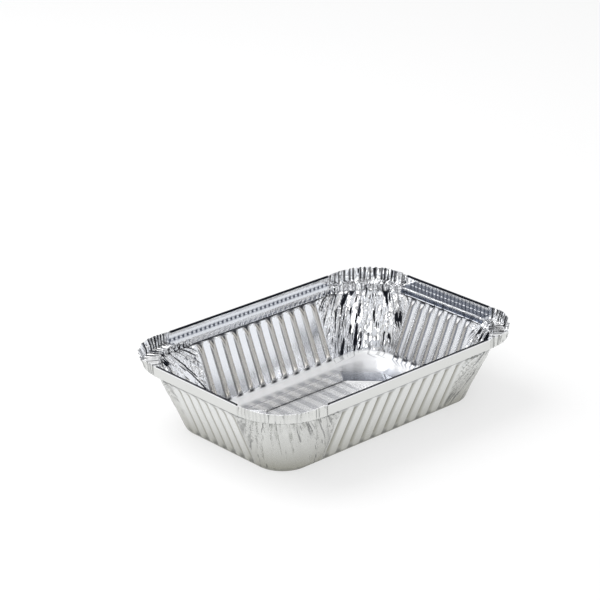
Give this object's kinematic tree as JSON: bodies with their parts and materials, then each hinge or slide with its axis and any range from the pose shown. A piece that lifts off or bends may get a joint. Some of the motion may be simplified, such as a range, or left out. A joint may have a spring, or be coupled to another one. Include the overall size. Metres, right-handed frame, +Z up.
{
  "type": "foil food container",
  "caption": "Shallow rectangular takeaway tray pressed from one foil sheet: fluted sloping walls, ledge, pleated upright rim and rolled hems; holds a portion of food.",
  "frame": {"origin": "on the resting plane, under the middle of the floor", "axes": "+X along the long side, +Y across, +Z up out of the open mouth"},
  "size_m": [0.2, 0.134, 0.047],
  "materials": {
    "foil": "bare rolled foil, bright inside and satin outside"
  },
  "bodies": {
    "root": {"foil_tray": "foil"}
  },
  "joints": []
}
